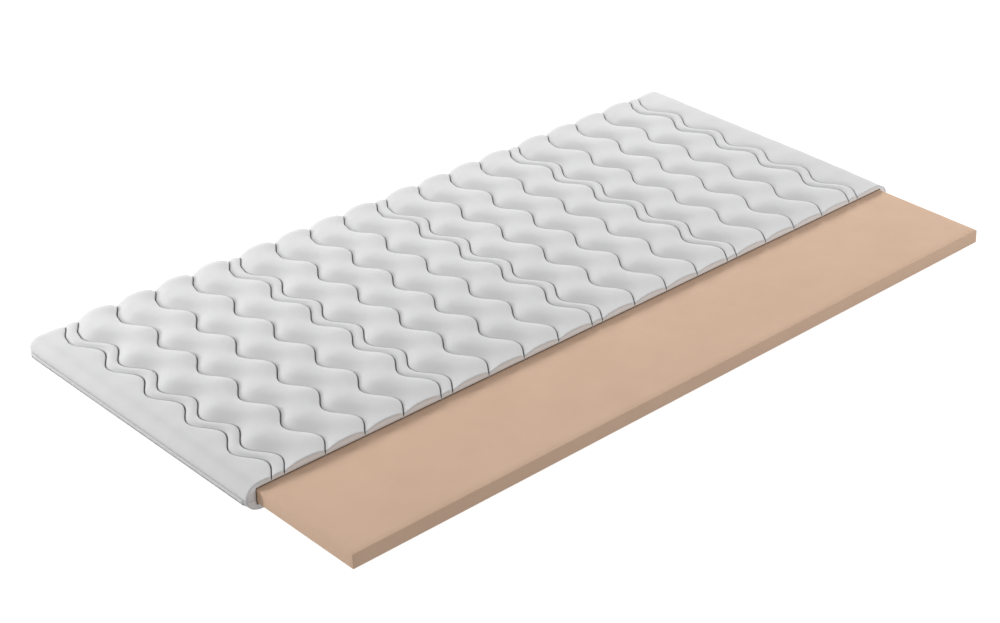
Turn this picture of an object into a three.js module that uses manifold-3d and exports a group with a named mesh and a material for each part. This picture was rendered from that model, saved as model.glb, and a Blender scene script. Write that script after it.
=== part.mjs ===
// A thin mattress: a foam slab in a wave-quilted cover that is cut away along one long side.
// Millimetres. X runs along the length, Y across the width, Z up, and the underside lies at Z = 0.
import * as THREE from 'three';
import { mergeVertices } from 'three/addons/utils/BufferGeometryUtils.js';
import Module from 'manifold-3d';

const wasm = await Module();
wasm.setup();

// foam slab
const foamLength = 1980;
const foamWidth = 1180;
const foamHeight = 35;
const foamEdgeRound = 1.5;

// cover, measured outwards from the foam
const fitGap = 0.3;
const bottomThickness = 16;
const stitchThickness = 9;
const sideBulge = 26;
const rollInset = 12;
const seamHeight = 28;
const bareFoamWidth = 325;
// seen from above, the cover's corners are fuller than a quarter circle: the power of their curve
const cornerFullness = 3;

// quilting: how far each channel swells above its stitch lines, the wide ones fullest at the near end
const nearEndSwell = 17;
const farEndSwell = 11;
const narrowSwell = 6;
const marginSwell = 6.5;
// a channel rises gently on its near side and drops steeply on its far side
const channelCrown = 2.2;
const gentleSide = 1.15;
const steepSide = 0.55;
// the swell dies away over the rolled edges, slowly at first
const rollFade = 2.5;
// the cloth lies flatter where it is cut, and has its full swell again this far from the cut
const swellAtCut = 0.66;
const swellRegained = 150;
// it is a little fuller still along the far long side
const swellAtBack = 1.16;
// a margin falls to its stitch line along a curve of this power
const marginCrown = 3;

// quilting: the stitch lines, counted from the foam's near end
const firstLineFromEnd = 49.2;
const lineSpacing = 105.4;
const doubleSpacing = 32.8;
const doubleLines = 5;
const singlesBetween = 3;
const waveLength = 160;
const waveSwing = 18.8;
const firstCrestFromCut = 55.7;
// the last wave is drawn out by this much, between two places along the cloth from the cut
const drawnOut = 13;
const drawnFrom = 785;
const drawnTo = 822;

// zip strip on the near short side, running on round half of the corner
const zipTop = 27.3;
const zipBottom = 11;
const zipThickness = 2.5;
const zipEndFromCut = 15;

// how finely the curved faces are divided
const rowsPerWave = 7;
const rollSteps = 5;
const bottomRollSteps = 6;
const cornerSteps = 6;
const zipSteps = 5;
const zipCornerSteps = cornerSteps / 2;
const wideStations = [-0.75, -0.3, 0.25, 0.85];
const narrowStations = [0];
const marginStations = [0.35, 0.75];

// places worked out from the sizes above
const halfWidth = (foamWidth + sideBulge) / 2;
const foamNearX = -foamLength / 2;
const foamFarX = foamLength / 2;
const foamFrontY = -halfWidth;
const foamBackY = foamFrontY + foamWidth;
const foamBottomZ = bottomThickness + fitGap;
const foamTopZ = foamBottomZ + foamHeight;
const cutY = foamFrontY + bareFoamWidth;
const rollNearX = foamNearX + rollInset;
const rollFarX = foamFarX - rollInset;
const rollBackY = foamBackY - rollInset;
const rollReach = rollInset + sideBulge;
const topRise = foamTopZ + stitchThickness - seamHeight;
const zipProud = fitGap + zipThickness;

// Turns vertices and triangles into a geometry.
function toGeometry(points, triangles) {
  const geometry = new THREE.BufferGeometry();
  geometry.setAttribute('position', new THREE.Float32BufferAttribute(points.flat(), 3));
  geometry.setIndex(triangles.flat());
  return geometry;
}

// Turns a closed geometry into a solid that can be cut.
function toSolid(geometry) {
  const bare = geometry.clone();
  bare.deleteAttribute('normal');
  bare.deleteAttribute('uv');
  const merged = mergeVertices(bare, 1e-4);
  return new wasm.Manifold(new wasm.Mesh({
    numProp: 3,
    vertProperties: new Float32Array(merged.attributes.position.array),
    triVerts: new Uint32Array(merged.index.array),
  }));
}

// Turns a solid back into a geometry.
function fromSolid(solid) {
  const mesh = solid.getMesh();
  const geometry = new THREE.BufferGeometry();
  geometry.setAttribute('position', new THREE.BufferAttribute(new Float32Array(mesh.vertProperties), 3));
  geometry.setIndex(new THREE.BufferAttribute(new Uint32Array(mesh.triVerts), 1));
  return geometry;
}

// The room that the foam fills, open towards the cut and between the two given heights.
function foamRoom(lowZ, highZ) {
  const beyondCut = 20;
  const width = foamBackY + fitGap - (cutY - beyondCut);
  const room = new THREE.BoxGeometry(foamLength + 2 * fitGap, width, highZ - lowZ);
  room.translate(0, foamBackY + fitGap - width / 2, (lowZ + highZ) / 2);
  return toSolid(room);
}

// The mean X of every stitch line: a double line, three single ones, a double line and so on.
function stitchLines() {
  const lines = [];
  let x = foamNearX + firstLineFromEnd;
  for (let k = 0; k < doubleLines; k += 1) {
    lines.push(x);
    x += doubleSpacing;
    lines.push(x);
    for (let j = 0; j < singlesBetween && k < doubleLines - 1; j += 1) {
      x += lineSpacing;
      lines.push(x);
    }
    x += lineSpacing;
  }
  return lines;
}

// The shape of a channel across its width, from -1 at its near stitch line to 1 at its far one.
function channelSwell(station) {
  return (1 - Math.abs(station) ** channelCrown) ** (station < 0 ? gentleSide : steepSide);
}

// How far a wide channel swells at this place along the length.
function wideSwell(x) {
  return THREE.MathUtils.mapLinear(x, foamNearX, foamFarX, nearEndSwell, farEndSwell);
}

// The share of its swell that the cloth keeps at this place along it, counted from the cut.
function swellShare(along) {
  const regained = THREE.MathUtils.smoothstep(along, 0, swellRegained);
  const rise = Math.min(along / (rollBackY - cutY), 1);
  return THREE.MathUtils.lerp(swellAtCut, 1, regained) * THREE.MathUtils.lerp(1, swellAtBack, rise);
}

// One column of the quilted face for each place along the length. The end columns roll over the foam's ends.
function quiltColumns() {
  const lines = stitchLines();
  const columns = [];
  const add = (x, swing, swell, roll = 0) => columns.push({ x, swing, swell, roll });
  for (let k = rollSteps; k >= 0; k -= 1) {
    add(rollNearX, 0, marginSwell, -k / rollSteps);
  }
  for (const part of marginStations) {
    add(THREE.MathUtils.lerp(rollNearX, lines[0], part), part, marginSwell * (1 - part ** marginCrown));
  }
  lines.forEach((x, k) => {
    add(x, 1, 0);
    if (k === lines.length - 1) {
      return;
    }
    const half = (lines[k + 1] - x) / 2;
    const narrow = half * 2 < lineSpacing / 2;
    for (const station of narrow ? narrowStations : wideStations) {
      const swell = (narrow ? narrowSwell : wideSwell(x + half)) * channelSwell(station);
      add(x + half * (1 + station), 1, swell);
    }
  });
  for (const part of [...marginStations].reverse()) {
    add(THREE.MathUtils.lerp(rollFarX, lines.at(-1), part), part, marginSwell * (1 - part ** marginCrown));
  }
  for (let k = 0; k <= rollSteps; k += 1) {
    add(rollFarX, 0, marginSwell, k / rollSteps);
  }
  return columns;
}

// One row for each place across the width, from the cut to the seam on the far long side.
function quiltRows() {
  const flat = rollBackY - cutY;
  const steps = Math.ceil(flat / (waveLength / rowsPerWave));
  const rows = [];
  for (let k = 0; k <= steps; k += 1) {
    rows.push({ along: (flat * k) / steps, y: cutY + (flat * k) / steps, roll: 0 });
  }
  const quarter = (Math.PI / 4) * (rollReach + topRise);
  for (let k = 1; k <= rollSteps; k += 1) {
    rows.push({ along: flat + (quarter * k) / rollSteps, y: rollBackY, roll: k / rollSteps });
  }
  return rows;
}

// How far the waves swing the channels sideways at this place along the cloth.
function waveShift(along) {
  const place = along - drawnOut * THREE.MathUtils.smoothstep(along, drawnFrom, drawnTo);
  return waveSwing * Math.cos((2 * Math.PI * (place - firstCrestFromCut)) / waveLength);
}

// How much further out than on a round corner the cover reaches, this far round the corner.
function cornerReach(turn) {
  const [across, along] = [Math.cos(turn), Math.sin(turn)].map((share) => Math.abs(share) ** cornerFullness);
  return (across + along) ** (-1 / cornerFullness);
}

// A point of the quilted face: rolled over the foam's edges and pushed out by the channel's swell.
function quiltPoint(column, row) {
  const across = Math.abs(column.roll);
  const roll = Math.max(across, row.roll);
  let turn = 0;
  if (roll > 0) {
    const eighth = Math.PI / 4;
    turn = across >= row.roll ? (eighth * row.roll) / across : 2 * eighth - (eighth * across) / row.roll;
  }
  const angle = (roll * Math.PI) / 2;
  const normal = new THREE.Vector2(Math.sin(angle) / rollReach, Math.cos(angle) / topRise).normalize();
  const swell = column.swell * swellShare(row.along) * (1 - roll ** rollFade);
  const out = (rollReach * Math.sin(angle) + swell * normal.x) * cornerReach(turn);
  return [
    column.x + column.swing * waveShift(row.along) + Math.sign(column.roll) * out * Math.cos(turn),
    row.y + out * Math.sin(turn),
    seamHeight + topRise * Math.cos(angle) + swell * normal.y,
  ];
}

// The quilted top panel, with its cut face and with the foam's room taken out.
function topPanelGeometry() {
  const columns = quiltColumns();
  const rows = quiltRows();
  const wide = columns.length;
  const points = rows.flatMap((row) => columns.map((column) => quiltPoint(column, row)));
  const triangles = [];
  const quad = (a, b, c, d) => {
    for (const corner of [[a, b, c], [a, c, d]]) {
      if (new Set(corner).size === 3) {
        triangles.push(corner);
      }
    }
  };
  for (let j = 0; j + 1 < rows.length; j += 1) {
    for (let i = 0; i + 1 < wide; i += 1) {
      const k = j * wide + i;
      quad(k, k + 1, k + wide + 1, k + wide);
    }
  }
  // the cut face stands on a row of points at the seam's height
  const feet = columns.map((column, i) => {
    if (i === 0 || i === wide - 1) {
      return i;
    }
    points.push([points[i][0], cutY, seamHeight]);
    return points.length - 1;
  });
  for (let i = 0; i + 1 < wide; i += 1) {
    quad(feet[i], feet[i + 1], i + 1, i);
  }
  // the lower edge is closed from its middle
  const last = (rows.length - 1) * wide;
  const rim = [...feet];
  for (let j = 1; j < rows.length; j += 1) {
    rim.push(j * wide + wide - 1);
  }
  for (let i = wide - 2; i >= 0; i -= 1) {
    rim.push(last + i);
  }
  for (let j = rows.length - 2; j > 0; j -= 1) {
    rim.push(j * wide);
  }
  points.push([0, (cutY + rollBackY) / 2, seamHeight]);
  const middle = points.length - 1;
  rim.forEach((k, i) => triangles.push([middle, rim[(i + 1) % rim.length], k]));
  const raised = toGeometry(points, triangles);
  raised.translate(0, 0, fitGap / 2);
  return fromSolid(toSolid(raised).subtract(foamRoom(0, foamTopZ + fitGap)));
}

// The outline of the bottom panel where it lies this far outside the roll's start.
function bottomOutline(reach, z) {
  const outline = [[rollFarX + reach, cutY, z]];
  for (const [x, start] of [[rollFarX, 0], [rollNearX, Math.PI / 2]]) {
    for (let k = 0; k <= cornerSteps; k += 1) {
      const angle = start + (Math.PI / 2) * (k / cornerSteps);
      const out = reach * cornerReach(angle);
      outline.push([x + out * Math.cos(angle), rollBackY + out * Math.sin(angle), z]);
    }
  }
  outline.push([rollNearX - reach, cutY, z]);
  return outline;
}

// The bottom panel: a padded tray with a flat underside, turned up round the foam to the seam.
function bottomPanelGeometry() {
  const top = seamHeight - fitGap / 2;
  // the underside stops just inside the roll's start, so that its corners stay round
  const leastReach = 0.5;
  const points = [];
  const triangles = [];
  let count = 0;
  for (let k = 0; k <= bottomRollSteps; k += 1) {
    const angle = (Math.PI / 2) * (k / bottomRollSteps);
    const reach = Math.max(rollReach * Math.cos(angle), leastReach);
    const outline = bottomOutline(reach, top * (1 - Math.sin(angle)));
    count = outline.length;
    points.push(...outline);
  }
  for (let k = 0; k < bottomRollSteps; k += 1) {
    for (let i = 0; i < count; i += 1) {
      const a = k * count + i;
      const b = k * count + ((i + 1) % count);
      triangles.push([a, b + count, b], [a, a + count, b + count]);
    }
  }
  const middleY = (cutY + rollBackY) / 2;
  const low = bottomRollSteps * count;
  points.push([0, middleY, top], [0, middleY, 0]);
  for (let i = 0; i < count; i += 1) {
    const next = (i + 1) % count;
    triangles.push([points.length - 2, i, next], [points.length - 1, low + next, low + i]);
  }
  const tray = toSolid(toGeometry(points, triangles));
  return fromSolid(tray.subtract(foamRoom(bottomThickness, seamHeight + fitGap)));
}

// The zip strip: a band that follows the bottom panel's side and half of its corner, a gap outside it.
function zipGeometry() {
  const lowest = Math.asin(1 - zipBottom / seamHeight);
  const highest = Math.asin(1 - zipTop / seamHeight);
  const side = (step, proud) => {
    const angle = THREE.MathUtils.lerp(highest, lowest, step / zipSteps);
    return [(rollReach + proud) * Math.cos(angle), seamHeight - (seamHeight + proud) * Math.sin(angle)];
  };
  const section = [];
  for (let k = 0; k <= zipSteps; k += 1) {
    section.push(side(k, zipProud));
  }
  for (let k = zipSteps; k >= 0; k -= 1) {
    section.push(side(k, fitGap));
  }
  const places = [{ y: cutY + zipEndFromCut, turn: 0 }];
  for (let k = 0; k <= zipCornerSteps; k += 1) {
    places.push({ y: rollBackY, turn: (Math.PI / 2) * (k / cornerSteps) });
  }
  const points = places.flatMap(({ y, turn }) => section.map(([reach, height]) => {
    const out = reach * cornerReach(turn);
    return [rollNearX - out * Math.cos(turn), y + out * Math.sin(turn), height];
  }));
  const count = section.length;
  const triangles = [];
  for (let k = 0; k + 1 < places.length; k += 1) {
    for (let i = 0; i < count; i += 1) {
      const a = k * count + i;
      const b = k * count + ((i + 1) % count);
      triangles.push([a, b + count, b], [a, a + count, b + count]);
    }
  }
  // both ends are closed flat
  const last = (places.length - 1) * count;
  for (let k = 0; k < zipSteps; k += 1) {
    const [a, b, c, d] = [k, k + 1, count - 2 - k, count - 1 - k];
    triangles.push([a, b, c], [a, c, d], [last + a, last + c, last + b], [last + a, last + d, last + c]);
  }
  return toGeometry(points, triangles);
}

// The foam slab, its cut edges just softened.
function foamGeometry() {
  const halfX = foamLength / 2 - foamEdgeRound;
  const halfY = foamWidth / 2 - foamEdgeRound;
  const outline = new THREE.Shape([
    new THREE.Vector2(-halfX, -halfY),
    new THREE.Vector2(halfX, -halfY),
    new THREE.Vector2(halfX, halfY),
    new THREE.Vector2(-halfX, halfY),
  ]);
  const slab = new THREE.ExtrudeGeometry(outline, {
    depth: foamHeight - 2 * foamEdgeRound,
    bevelThickness: foamEdgeRound,
    bevelSize: foamEdgeRound,
    bevelSegments: 2,
  });
  slab.translate(0, (foamFrontY + foamBackY) / 2, foamBottomZ + foamEdgeRound);
  return slab;
}

function piece(name, geometry, color, roughness) {
  const mesh = new THREE.Mesh(geometry, new THREE.MeshStandardMaterial({ color, roughness, metalness: 0 }));
  mesh.name = name;
  return mesh;
}

const mattress = new THREE.Group();
mattress.add(
  piece('foam_core', foamGeometry(), 0xd2ae92, 0.95),
  piece('cover_top_panel', topPanelGeometry(), 0xdcdcdc, 0.9),
  piece('cover_bottom_panel', bottomPanelGeometry(), 0xd4d4d4, 0.9),
  piece('zip_strip', zipGeometry(), 0xc8c8c8, 0.8),
);
// the zip and the far side's swell stand out on one side alone, so the outline is centred on the origin
const outline = new THREE.Box3().setFromObject(mattress, true).getCenter(new THREE.Vector3());
mattress.position.set(-outline.x, -outline.y, 0);

export default mattress;
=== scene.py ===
import math
import bmesh
import bpy
import numpy as np
from mathutils import Matrix, Vector


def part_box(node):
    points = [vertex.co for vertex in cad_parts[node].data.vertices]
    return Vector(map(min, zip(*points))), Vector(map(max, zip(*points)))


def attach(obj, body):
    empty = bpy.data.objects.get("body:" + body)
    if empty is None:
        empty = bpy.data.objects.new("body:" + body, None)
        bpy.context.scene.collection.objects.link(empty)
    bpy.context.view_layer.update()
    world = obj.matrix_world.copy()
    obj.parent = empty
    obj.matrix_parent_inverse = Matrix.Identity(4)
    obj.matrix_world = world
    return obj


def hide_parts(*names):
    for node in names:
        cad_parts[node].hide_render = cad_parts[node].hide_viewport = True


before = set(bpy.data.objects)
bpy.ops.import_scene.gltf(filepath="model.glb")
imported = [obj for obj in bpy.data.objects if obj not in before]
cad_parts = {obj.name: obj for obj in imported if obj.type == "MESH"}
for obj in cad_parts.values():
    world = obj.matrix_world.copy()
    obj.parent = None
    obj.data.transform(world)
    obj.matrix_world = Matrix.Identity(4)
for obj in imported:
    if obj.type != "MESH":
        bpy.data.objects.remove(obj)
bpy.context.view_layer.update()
print("frame loaded")

# where the foam and the two panels are, in metres
foamLow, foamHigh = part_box("foam_core")
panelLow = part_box("cover_top_panel")[0]
trayLow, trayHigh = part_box("cover_bottom_panel")

# the cover's outline, worked out from those and from how far it rolls over the foam
cover = {
    "fitGap": 0.0003,
    "rollInset": 0.012,
    "sideBulge": 0.026,
    "stitchRise": 0.00915,
    "seamTuck": 0.0022,  # how far both panels draw in where they are sewn together
    "tuckShare": 0.12,
    "cornerFullness": 3.0,  # seen from above the corners are fuller than a quarter circle
    "clothThick": 0.0011,
    "cutRecess": 0.0003,  # the wadding lies this far back from the cut cloth
    "liningHigh": 0.0026,  # the inner cloth's edge, set back along the foam; its dark brown is painted shade
    "liningBack": 0.0012,
    "fluff": 0.0003,  # the wadding's unevenness at the cut, another in each of its layers
    "fluffSize": 0.02,
    "fluffFineness": 9.0,
    "layerShift": 1.7,
    "mostEdge": 0.3,  # neither edge takes up more of the cut than this
    "waddingShares": (0.0, 0.2, 0.45, 0.7, 1.0),
}
nearX = foamLow.x + cover["rollInset"]
farX = foamHigh.x - cover["rollInset"]
backY = foamHigh.y - cover["rollInset"]
cutY = panelLow.y
seamZ = panelLow.z
rollReach = cover["rollInset"] + cover["sideBulge"]
topRise = foamHigh.z + cover["stitchRise"] - seamZ
rollLength = (math.pi / 4) * (rollReach + topRise)  # about how much cloth goes over the roll
roomNearX = foamLow.x - cover["fitGap"]
roomFarX = foamHigh.x + cover["fitGap"]
roomBackY = foamHigh.y + cover["fitGap"]


# how much further out than on a round corner the cover reaches, this far round the corner
def cornerReach(turn):
    power = cover["cornerFullness"]
    return (np.abs(np.cos(turn)) ** power + np.abs(np.sin(turn)) ** power) ** (-1 / power)


# how far a panel draws in at this share of its roll away from the seam
def seamTuck(fromSeam):
    share = np.clip((cover["tuckShare"] - fromSeam) / cover["tuckShare"], 0, 1)
    return share ** 2 * cover["seamTuck"]


# Materials

def addNode(tree, kind, inputs=None, **settings):
    node = tree.nodes.new(kind)
    for key, value in settings.items():
        setattr(node, key, value)
    for key, value in (inputs or {}).items():
        if isinstance(value, bpy.types.NodeSocket):
            tree.links.new(value, node.inputs[key])
        else:
            node.inputs[key].default_value = value
    return node


def calc(tree, operation, *values):
    return addNode(tree, "ShaderNodeMath", dict(enumerate(values)), operation=operation).outputs[0]


def newMaterial(name, colour, roughness, **constants):
    material = bpy.data.materials.new(name)
    material.use_nodes = True
    material.diffuse_color = (*colour, 1)
    tree = material.node_tree
    shader = tree.nodes["Principled BSDF"]
    shader.inputs["Base Color"].default_value = (*colour, 1)
    shader.inputs["Roughness"].default_value = roughness
    for key, value in constants.items():
        shader.inputs[key.replace("_", " ")].default_value = value
    return material, tree, shader


def addNoise(tree, place, scale, detail, **values):
    inputs = {"Vector": place, "Scale": scale, "Detail": detail}
    for key, value in values.items():
        inputs[key.capitalize()] = value
    return addNode(tree, "ShaderNodeTexNoise", inputs).outputs["Fac"]


driftRoughness = 0.55
driftRange = (0.3, 0.7)  # where in the noise the darker tone ends and the lighter one begins


# a material whose colour drifts a little over the piece, from Object coordinates
def startLook(name, look):
    material, tree, shader = newMaterial(
        name, look["colour"], look["roughness"],
        Sheen_Weight=look.get("sheen", 0.0), Specular_IOR_Level=look.get("specular", 0.5),
    )
    place = addNode(tree, "ShaderNodeTexCoord").outputs["Object"]
    drift = addNoise(tree, place, look["driftScale"], look.get("driftDetail", 3.0), roughness=driftRoughness)
    ramp = addNode(tree, "ShaderNodeValToRGB", {"Fac": drift})
    for stop, position, key in zip(ramp.color_ramp.elements, driftRange, ("darker", "lighter")):
        stop.position = position
        stop.color = (*look[key], 1)
    tree.links.new(ramp.outputs["Color"], shader.inputs["Base Color"])
    return material, tree, shader, place


def addBump(tree, shader, height, distance, strength):
    bump = addNode(tree, "ShaderNodeBump", {"Height": height, "Distance": distance, "Strength": strength})
    under = shader.inputs["Normal"]
    if under.is_linked:
        tree.links.new(under.links[0].from_socket, bump.inputs["Normal"])
    tree.links.new(bump.outputs["Normal"], shader.inputs["Normal"])


loopShare = 0.35  # how much of the height is the loops' and not the ribs'


# rows of knitted loops, from a UV map laid out in metres
def addKnit(tree, shader, look):
    place = addNode(tree, "ShaderNodeUVMap", uv_map="cloth")
    apart = addNode(tree, "ShaderNodeSeparateXYZ", {0: place.outputs["UV"]})
    across = calc(tree, "MULTIPLY", apart.outputs["X"], math.pi / look["wale"])
    rib = calc(tree, "ABSOLUTE", calc(tree, "SINE", across))
    along = calc(tree, "MULTIPLY", apart.outputs["Y"], 2 * math.pi / look["course"])
    loop = calc(tree, "SINE", calc(tree, "MULTIPLY_ADD", rib, look["loopSlant"], along))
    rounded = calc(tree, "MULTIPLY_ADD", loop, loopShare, 1 - loopShare)
    addBump(tree, shader, calc(tree, "MULTIPLY", rib, rounded), look["loopDepth"], look["loopStrength"])


clothLook = {
    "colour": (0.72, 0.72, 0.725),
    "darker": (0.70, 0.70, 0.706),
    "lighter": (0.735, 0.735, 0.738),
    "driftScale": 5.0,
    "roughness": 0.92,
    "sheen": 0.12,
    "wale": 0.0013,
    "course": 0.0011,
    "loopSlant": 1.6,
    "loopDepth": 0.00016,
    "loopStrength": 0.6,
    "puckerLength": 0.006,
    "puckerDetail": 1.0,
    "puckerDepth": 0.0012,
    "puckerStrength": 0.5,
    "paintedShadeKept": 0.22,  # painted shade: the cloth at the bottom of a cleft keeps this share of its colour, standing in for the shade there
}


def quiltedCloth():
    look = clothLook
    material, tree, shader, place = startLook("quiltedCloth", look)
    # painted shade: the cloth's colour darkens towards each stitch line, standing in for the shade in its
    # cleft
    paintedShadeShare = addNode(tree, "ShaderNodeAttribute", attribute_name="paintedCleftShade")
    shade = calc(tree, "MULTIPLY_ADD", paintedShadeShare.outputs["Fac"], look["paintedShadeKept"] - 1, 1.0)
    shaded = addNode(
        tree, "ShaderNodeVectorMath",
        {0: shader.inputs["Base Color"].links[0].from_socket, "Scale": shade}, operation="SCALE",
    )
    tree.links.new(shaded.outputs["Vector"], shader.inputs["Base Color"])
    pull = addNode(tree, "ShaderNodeAttribute", attribute_name="stitchPull")
    pucker = addNoise(tree, place, 1 / look["puckerLength"], look["puckerDetail"])
    height = calc(tree, "MULTIPLY", pucker, pull.outputs["Fac"])
    addBump(tree, shader, height, look["puckerDepth"], look["puckerStrength"])
    addKnit(tree, shader, look)
    return material


# a plain finish: open cells, a fine grain and knitted loops, whichever its values name
def plainFinish(name, look):
    material, tree, shader, place = startLook(name, look)
    if "cell" in look:
        cells = addNode(tree, "ShaderNodeTexVoronoi", {"Vector": place, "Scale": 1 / look["cell"]})
        addBump(tree, shader, cells.outputs["Distance"], look["cellDepth"], look["cellStrength"])
    if "grainScale" in look:
        grain = addNoise(tree, place, look["grainScale"], look["grainDetail"])
        addBump(tree, shader, grain, look["grainDepth"], look["grainStrength"])
    if "wale" in look:
        addKnit(tree, shader, look)
    return material


plainLook = {
    "colour": clothLook["darker"],
    "darker": (0.67, 0.67, 0.676),
    "lighter": (0.71, 0.71, 0.714),
    "driftScale": 4.0,
    "roughness": 0.94,
    "sheen": 0.1,
    "wale": clothLook["wale"],
    "course": clothLook["course"],
    "loopSlant": 0.0,
    "loopDepth": clothLook["loopDepth"],
    "loopStrength": 0.5,
    "grainScale": 28.0,  # faint creases
    "grainDetail": 2.0,
    "grainDepth": 0.0012,
    "grainStrength": 0.35,
}
waddingLook = {
    "colour": (0.9, 0.913, 0.933),
    "darker": (0.87, 0.883, 0.903),
    "lighter": (0.93, 0.943, 0.963),
    "driftScale": 260.0,
    "roughness": 1.0,
    "sheen": 0.2,
    "fibresPerMetre": (180.0, 180.0, 900.0),
    "fibreDetail": 4.0,
    "fibreCurl": 1.2,
    "fibreDepth": 0.0006,
    "fibreStrength": 0.8,
}


def waddingFibre():
    look = waddingLook
    material, tree, shader, place = startLook("waddingFibre", look)
    drawn = addNode(tree, "ShaderNodeMapping", {"Vector": place, "Scale": look["fibresPerMetre"]})
    fibre = addNoise(tree, drawn.outputs["Vector"], 1.0, look["fibreDetail"], distortion=look["fibreCurl"])
    addBump(tree, shader, fibre, look["fibreDepth"], look["fibreStrength"])
    return material


# the inner cloth's edge where the panels are cut; its dark brown is painted shade, standing in for the shade
# where the cover meets the foam
liningPaintedShadeLook = {
    "colour": (0.12, 0.077, 0.055),
    "darker": (0.08, 0.05, 0.036),
    "lighter": (0.16, 0.104, 0.075),
    "driftScale": 60.0,
    "roughness": 1.0,
    "grainScale": 900.0,
    "grainDetail": 3.0,
    "grainDepth": 0.0003,
    "grainStrength": 0.6,
}
foamLook = {
    "colour": (0.752, 0.524, 0.378),
    "darker": (0.732, 0.508, 0.365),
    "lighter": (0.772, 0.54, 0.391),
    "driftScale": 9.0,
    "driftDetail": 5.0,
    "roughness": 0.97,
    "specular": 0.25,
    "cell": 0.0011,
    "cellDepth": 0.0005,
    "cellStrength": 0.55,
    "grainScale": 40.0,  # the traces of the knife
    "grainDetail": 3.0,
    "grainDepth": 0.0009,
    "grainStrength": 0.3,
}
tapeLook = {
    "colour": (0.74, 0.74, 0.745),
    "darker": (0.72, 0.72, 0.725),
    "lighter": (0.76, 0.76, 0.765),
    "driftScale": 40.0,
    "roughness": 0.85,
    "sheen": 0.1,
    "wale": 0.0009,
    "course": 0.0008,
    "loopSlant": 3.1,
    "loopDepth": 0.0002,
    "loopStrength": 0.8,
}
coilLook = {
    "colour": (0.7, 0.7, 0.7),
    "darker": (0.66, 0.66, 0.66),
    "lighter": (0.74, 0.74, 0.74),
    "driftScale": 90.0,
    "roughness": 0.4,
    "grainScale": 700.0,
    "grainDetail": 2.0,
    "grainDepth": 0.0001,
    "grainStrength": 0.4,
}
# a grey thread; its dark grey is partly the thread's own colour and partly painted shade for the clefts it
# lies in
threadAndShadeLook = {
    "colour": (0.4, 0.4, 0.4),
    "darker": (0.35, 0.35, 0.35),
    "lighter": (0.45, 0.45, 0.45),
    "driftScale": 300.0,
    "roughness": 0.6,
    "sheen": 0.2,
    "twistScale": 700.0,
    "twistWander": 1.5,
    "twistDepth": 0.0001,
    "twistStrength": 0.7,
}


def stitchThread():
    look = threadAndShadeLook
    material, tree, shader, place = startLook("stitchThread", look)
    twist = addNode(
        tree, "ShaderNodeTexWave",
        {"Vector": place, "Scale": look["twistScale"], "Distortion": look["twistWander"]},
        bands_direction="DIAGONAL",
    )
    addBump(tree, shader, twist.outputs["Fac"], look["twistDepth"], look["twistStrength"])
    return material


materials = {
    "quiltedCloth": quiltedCloth(),
    "plainCloth": plainFinish("plainCloth", plainLook),
    "waddingFibre": waddingFibre(),
    "liningPaintedShade": plainFinish("liningPaintedShade", liningPaintedShadeLook),
    "openCellFoam": plainFinish("openCellFoam", foamLook),
    "tapeWeave": plainFinish("tapeWeave", tapeLook),
    "coilNylon": plainFinish("coilNylon", coilLook),
    "stitchThread": stitchThread(),
}
print("materials made")


# Meshes

tiny = 1e-9  # keeps a division from failing


def linkObject(name, mesh):
    piece = bpy.data.objects.new(name, mesh)
    bpy.context.scene.collection.objects.link(piece)
    return piece


def newShell():
    return {"points": [], "faces": [], "looks": [], "smooth": [], "cloth": []}


# cloth holds each point's place on the flat cloth, for the UV map
def addPoints(shell, points, cloth=None):
    start = len(shell["points"])
    shell["points"].extend([tuple(map(float, p)) for p in points])
    flat = points if cloth is None else cloth
    shell["cloth"].extend([(float(p[0]), float(p[1])) for p in flat])
    return list(range(start, len(shell["points"])))


def addFace(shell, corners, look=0, smooth=True):
    shell["faces"].append([int(k) for k in corners])
    shell["looks"].append(look)
    shell["smooth"].append(smooth)


def bridge(shell, first, second, look=0, smooth=True):
    for k in range(len(first) - 1):
        addFace(shell, (first[k], first[k + 1], second[k + 1], second[k]), look, smooth)


def faceOutwards(mesh):
    turned = bmesh.new()
    turned.from_mesh(mesh)
    bmesh.ops.recalc_face_normals(turned, faces=turned.faces)
    turned.to_mesh(mesh)
    turned.free()


def addValues(mesh, name, values, kind="FLOAT", field="value"):
    layer = mesh.attributes.new(name, kind, "POINT")
    layer.data.foreach_set(field, np.ascontiguousarray(values, dtype=np.float32).ravel())


def shellToPiece(name, shell, looks):
    mesh = bpy.data.meshes.new(name)
    mesh.from_pydata(shell["points"], [], shell["faces"])
    for look in looks:
        mesh.materials.append(look)
    mesh.polygons.foreach_set("material_index", shell["looks"])
    mesh.polygons.foreach_set("use_smooth", shell["smooth"])
    uvs = mesh.uv_layers.new(name="cloth")
    corners = np.empty(len(mesh.loops), dtype=np.int32)
    mesh.loops.foreach_get("vertex_index", corners)
    uvs.data.foreach_set("uv", np.array(shell["cloth"], dtype=np.float32)[corners].ravel())
    faceOutwards(mesh)
    mesh.validate()
    return linkObject(name, mesh)


# each wave's run along x and y, and its start
unevenWaves = (
    (1.0, 0.31, 0.2), (-0.47, 0.93, 1.9), (0.71, -0.83, 4.1), (1.63, 0.57, 2.7), (-0.29, 1.71, 5.3),
)


# a slow, slight unevenness between about -1 and 1
def uneven(x, y, size):
    total = sum(np.sin((a * x + b * y) / size + start) for a, b, start in unevenWaves)
    return total / len(unevenWaves)
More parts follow.
